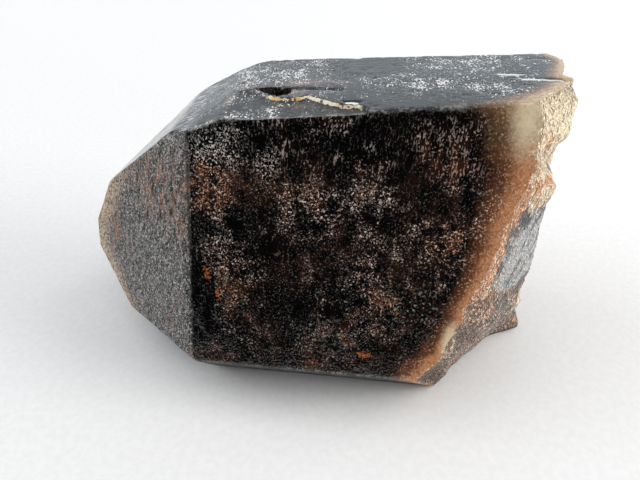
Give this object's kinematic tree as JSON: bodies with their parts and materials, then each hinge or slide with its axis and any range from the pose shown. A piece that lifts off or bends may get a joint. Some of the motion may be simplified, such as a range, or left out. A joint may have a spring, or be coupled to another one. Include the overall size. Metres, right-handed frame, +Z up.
{
  "type": "morion quartz crystal",
  "caption": "Large dark smoky quartz crystal lying on a prism face: slanted rhombohedral tip at one end, rough broken surface at the other.",
  "frame": {"origin": "centre of the footprint box, on the surface the crystal rests on", "axes": "+X along the crystal's c axis from the tip to the broken end, +Z up, the large front faces look towards -Y"},
  "size_m": [0.0826, 0.0478, 0.0431],
  "materials": {
    "morion": "glassy crystal faces, finely etched and rust stained, with a rough paler broken end"
  },
  "bodies": {
    "root": {"crystal": "morion"}
  },
  "joints": []
}
